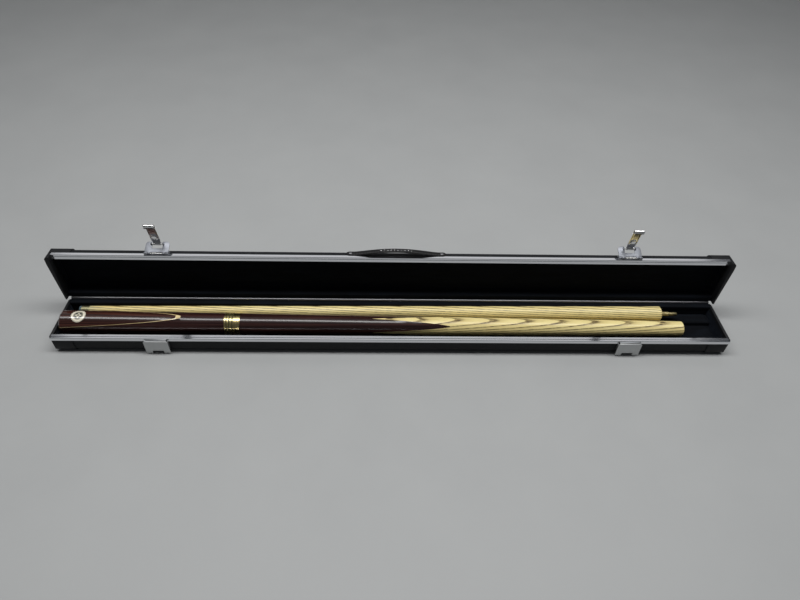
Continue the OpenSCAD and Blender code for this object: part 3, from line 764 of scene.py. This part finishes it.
def beads(name, places, size, sides, material, body, slot, *replaced):
    """places are (point, facing, lay) triples; size is the bead's three half-axes."""
    mesh = bpy.data.meshes.new(name + "_points")
    mesh.from_pydata([p for p, _, _ in places], [], [])
    for key, index in (("facing", 1), ("lay", 2)):
        attribute = mesh.attributes.new(key, "FLOAT_VECTOR", "POINT")
        for i, place in enumerate(places):
            attribute.data[i].vector = place[index]
    points = bpy.data.objects.new(name + "_points", mesh)
    bpy.context.scene.collection.objects.link(points)
    modifier = points.modifiers.new("beads", "NODES")
    modifier.node_group = BEADS
    for key, value in zip(BEAD_INPUTS, (size, sides, material)):
        modifier[key] = value
    bpy.context.view_layer.update()
    graph = bpy.context.evaluated_depsgraph_get()
    made = bpy.data.meshes.new_from_object(points.evaluated_get(graph))
    bpy.data.objects.remove(points)
    bm = bmesh.new()
    bm.from_mesh(made)
    bpy.data.meshes.remove(made)
    bmesh.ops.remove_doubles(bm, verts=bm.verts, dist=1e-8)
    outward(bm)
    obj = new_piece(name, bm, body, material, slot, *replaced)
    smooth(obj, 60)


OUT = OPENED.to_3x3() @ Vector((0, -1, 0))


def on_strap(x, z, sunk):
    """A bead's place on the strap's outer face, x and z from the strap's middle."""
    y = wall_y - strap_rise(x) - STRAP_T + sunk
    return OPENED @ Vector((x, y, strap_mid_z + z)), OUT, X_AXIS


def strap_stitches():
    studs, stitches = 10, 34
    pale = [on_strap((k - (studs - 1) / 2) * 4 * MM, 0, 0.02 * MM) for k in range(studs)]
    dark = [on_strap((k - (stitches - 1) / 2) * 3.2 * MM, side * 2.3 * MM, 0.10 * MM)
            for k in range(stitches) for side in (-1, 1)]
    beads("strap_studs", pale, (0.8 * MM, 0.6 * MM, 0.3 * MM), 12, CHROME, "case_lid", "nickel")
    beads("strap_stitches", dark, (1.15 * MM, 0.3 * MM, 0.25 * MM), 8,
          thread("dark_thread", (0.05, 0.05, 0.05)), "case_lid", "strap")


strap_stitches()


def rivet_points(node_name, turn):
    """Outer middle of each rivet head in a node, from the node's own loose solids."""
    bm = bmesh.new()
    bm.from_mesh(nodes[node_name].data)
    bmesh.ops.remove_doubles(bm, verts=bm.verts, dist=WELD)
    seen = set()
    places = []
    for first in bm.verts:
        if first in seen:
            continue
        seen.add(first)
        stack, points = [first], []
        while stack:
            vert = stack.pop()
            points.append(turn.inverted() @ vert.co)
            for edge in vert.link_edges:
                other = edge.other_vert(vert)
                if other not in seen:
                    seen.add(other)
                    stack.append(other)
        middle = [(min(p[i] for p in points) + max(p[i] for p in points)) / 2 for i in range(3)]
        places.append(Vector((middle[0], min(p.y for p in points), middle[2])))
    bm.free()
    return places


RIVET_RISE = 0.5 * MM
RIVET_R = 2.05 * MM


def domes(name, node_name, finish):
    """Round heads in the place of a lid node's flat rivets."""
    heads = rivet_points(node_name, OPENED)
    places = [(OPENED @ (p + Vector((0, RIVET_RISE, 0))), OUT, X_AXIS) for p in heads]
    half_axes = (RIVET_R, RIVET_R, RIVET_RISE)
    beads(name, places, half_axes, 20, finish, "case_lid", "steel", node_name)


domes("latch_rivet_heads", "latch_rivets", STEEL)
domes("strap_rivet_heads", "handle_rivets", HINGE)


# ---- hook arms: one bent strip each, with a dimple and a rolled hook ----
ARM_LEAN = math.radians(-169)
ARM_W = 10.4 * MM
ARM_T = 1.0 * MM
NECK_W = 8.6 * MM
HOOK_W = 11.6 * MM
STRIP_START = 1.2 * MM
BEND_AT = 31.8 * MM
BEND_R = 1.5 * MM
LIP = 2.1 * MM
DIMPLE_AT = 13 * MM
DIMPLE_R = 4.1 * MM
BARREL_R = 1.75 * MM
BARREL_REACH = 4.4 * MM
BARREL_BORE = 0.97 * MM
BARREL_EASE = 0.2 * MM


def arm_path():
    """(along, inward, direction) of the strip's middle line, from the pin to the lip."""
    path = [(STRIP_START + (BEND_AT - STRIP_START) * k / 44, 0.0, 0.0) for k in range(45)]
    for k in range(1, 19):
        a = math.pi * k / 18
        path.append((BEND_AT + BEND_R * math.sin(a), BEND_R * (1 - math.cos(a)), a))
    path += [(BEND_AT - LIP * k / 5, 2 * BEND_R, math.pi) for k in range(1, 6)]
    return path


def arm_width(s, bent):
    """Narrow at the pin, full along the strip and widest at the hook."""
    neck_end, shoulder, hook_start = 2.5 * MM, 7 * MM, 27.5 * MM
    if bent > 0 or s > hook_start:
        return HOOK_W
    widening = min(max(0.0, (s - neck_end) / (shoulder - neck_end)), 1.0)
    return NECK_W + (ARM_W - NECK_W) * widening


def arm_relief(s, u, half_w):
    """Depth of the round dimple and height of the pressed rib, on the flat stretch."""
    away = math.hypot(s - DIMPLE_AT, u * half_w) / DIMPLE_R
    dent = 0.9 * MM * max(0.0, 1 - away * away) ** 1.5
    rib = 0.0
    if 8 * MM < s < 27 * MM:
        rib = 0.18 * MM * math.exp(-((abs(u) - 0.8) / 0.07) ** 2)
    return dent, rib


def make_arm(side):
    pin = Vector(joints[f"arm_{side}_swing"]["pos_m"])
    along = Vector((0, math.sin(ARM_LEAN), -math.cos(ARM_LEAN)))
    inward = Vector((0, math.cos(ARM_LEAN), math.sin(ARM_LEAN)))
    bm = bmesh.new()
    rings = []
    for s, t, bend in arm_path():
        normal = inward * math.cos(bend) - along * math.sin(bend)
        half_w = arm_width(s, bend) / 2
        front, back = [], []
        for k in range(25):
            u = -1 + k / 12
            edge = ARM_T / 2 * math.sqrt(max(0.0, 1 - max(0.0, (abs(u) - 0.93) / 0.07) ** 2))
            half_t = max(edge, 0.12 * MM)
            dent, rib = arm_relief(s, u, half_w) if bend == 0 else (0.0, 0.0)
            middle = pin + X_AXIS * (u * half_w) + along * s + inward * t
            front.append(middle + normal * (half_t - dent + rib))
            back.append(middle - normal * (half_t + dent))
        rings.append(front + back[::-1])
    loft(bm, rings)
    end, ease = BARREL_REACH, BARREL_EASE
    profile = ((-end, BARREL_R - ease), (ease - end, BARREL_R), (end - ease, BARREL_R),
               (end, BARREL_R - ease), (end, BARREL_BORE), (-end, BARREL_BORE))
    turns = [2 * math.pi * k / 32 for k in range(32)]
    barrel = [[pin + X_AXIS * x + along * (math.cos(a) * r) + inward * (math.sin(a) * r)
               for a in turns] for x, r in profile]
    loft(bm, barrel, closed=True)
    outward(bm)
    node_name = f"latch_arm_{side}"
    obj = new_piece(f"hook_arm_{side}", bm, f"arm_{side}", CHROME, "nickel", node_name)
    smooth(obj, 40)


make_arm("left")
make_arm("right")


# ---- joint pin with a real thread; stations are millimetres out of the shaft's face ----
THREAD_L = 11.1
SHANK_R = 4.47
CORE_R = 2.75
CREST_R = 3.3
PILOT_R = 2.3
PITCH = 1.7


def thread_radius(x, turn):
    """Radius of the thread at x, a share of a turn round; it runs out at both ends."""
    phase = (x / PITCH - turn) % 1.0
    ridge = 1 - abs(2 * phase - 1)
    ends = min(1.0, x / 0.8, (THREAD_L - x) / 0.6)
    return CORE_R + (CREST_R - CORE_R) * min(1.0, ridge * 1.35) * max(ends, 0.0)


def make_joint_pin():
    pin = mounts["joint_pin"]
    start = Vector(pin["pos_m"])
    axis = Vector(pin["axis"]).normalized()
    side = axis.cross(Vector((0, 0, 1))).normalized()
    up = side.cross(axis)
    shank = [(-26.0, SHANK_R), (-0.02, SHANK_R), (0.0, 4.30), (0.02, CORE_R)]
    thread_x = [0.05 + 0.1 * k for k in range(110)]
    pilot = [(THREAD_L + 0.02, 2.7), (11.2, 2.0), (11.8, 2.0), (11.9, 2.15), (12.1, PILOT_R),
             (20.7, PILOT_R), (21.3, 2.0), (21.6, 1.6)]
    sides = 36
    bm = bmesh.new()
    rings = []
    for x, plain_r in shank + [(x, None) for x in thread_x] + pilot:
        ring = []
        for k in range(sides):
            a = 2 * math.pi * k / sides
            r = (thread_radius(x, k / sides) if plain_r is None else plain_r) * MM
            ring.append(start + axis * (x * MM) + side * (math.cos(a) * r) + up * (math.sin(a) * r))
        rings.append(ring)
    loft(bm, rings)
    outward(bm)
    obj = new_piece("threaded_joint_pin", bm, "cue_shaft", PIN_BRASS, "brass", "joint_pin")
    smooth(obj, 30)


make_joint_pin()


# ---- stage, light and camera ----
def make_floor():
    bm = bmesh.new()
    reach = 6.0
    square = ((-reach, -reach), (reach, -reach), (reach, reach), (-reach, reach))
    bm.faces.new([bm.verts.new((x, y, 0)) for x, y in square])
    mesh = bpy.data.meshes.new("floor")
    bm.to_mesh(mesh)
    bm.free()
    obj = bpy.data.objects.new("floor", mesh)
    bpy.context.scene.collection.objects.link(obj)
    coat(obj, tabletop())


def softbox(name, place, aim, size, power):
    data = bpy.data.lights.new(name, "AREA")
    data.shape = "RECTANGLE"
    data.size, data.size_y = size
    data.energy = power
    obj = bpy.data.objects.new(name, data)
    bpy.context.scene.collection.objects.link(obj)
    obj.location = place
    obj.rotation_euler = (Vector(aim) - Vector(place)).to_track_quat("-Z", "Y").to_euler()


def make_world(strength):
    world = bpy.data.worlds.new("studio")
    world.use_nodes = True
    sky = world.node_tree.nodes["Background"]
    sky.inputs["Color"].default_value = (0.86, 0.9, 0.96, 1)
    sky.inputs["Strength"].default_value = strength
    bpy.context.scene.world = world


CAMERA_AT = Vector((-0.0173, -0.5001, 0.5486))
CAMERA_PITCH, CAMERA_YAW, CAMERA_ROLL = 44.46, 2.5, 2.19
CAMERA_LENS = 27.045


def make_camera():
    """Looks down by the pitch, to the right by the yaw and is rolled about its own view."""
    pitch, yaw, roll = (math.radians(a) for a in (CAMERA_PITCH, CAMERA_YAW, CAMERA_ROLL))
    ahead = Vector((math.sin(yaw), math.cos(yaw), 0))
    forward = ahead * math.cos(pitch) - Vector((0, 0, math.sin(pitch)))
    right = Vector((math.cos(yaw), -math.sin(yaw), 0))
    up = right.cross(forward)
    right, up = (right * math.cos(roll) + up * math.sin(roll),
                 up * math.cos(roll) - right * math.sin(roll))
    data = bpy.data.cameras.new("camera")
    data.sensor_width = 36
    data.lens = CAMERA_LENS
    obj = bpy.data.objects.new("camera", data)
    bpy.context.scene.collection.objects.link(obj)
    turn = Matrix((right, up, -forward)).transposed().to_4x4()
    obj.matrix_world = Matrix.Translation(CAMERA_AT) @ turn
    bpy.context.scene.camera = obj


make_floor()
make_world(0.08)
softbox("overhead", (0.0, 0.04, 1.4), (0, 0, 0), (2.2, 0.30), 24)
softbox("back_panel", (0.0, 1.7, 1.55), (0, 0, 0.05), (3.2, 1.5), 8)
make_camera()
bpy.context.scene.view_settings.view_transform = "Standard"
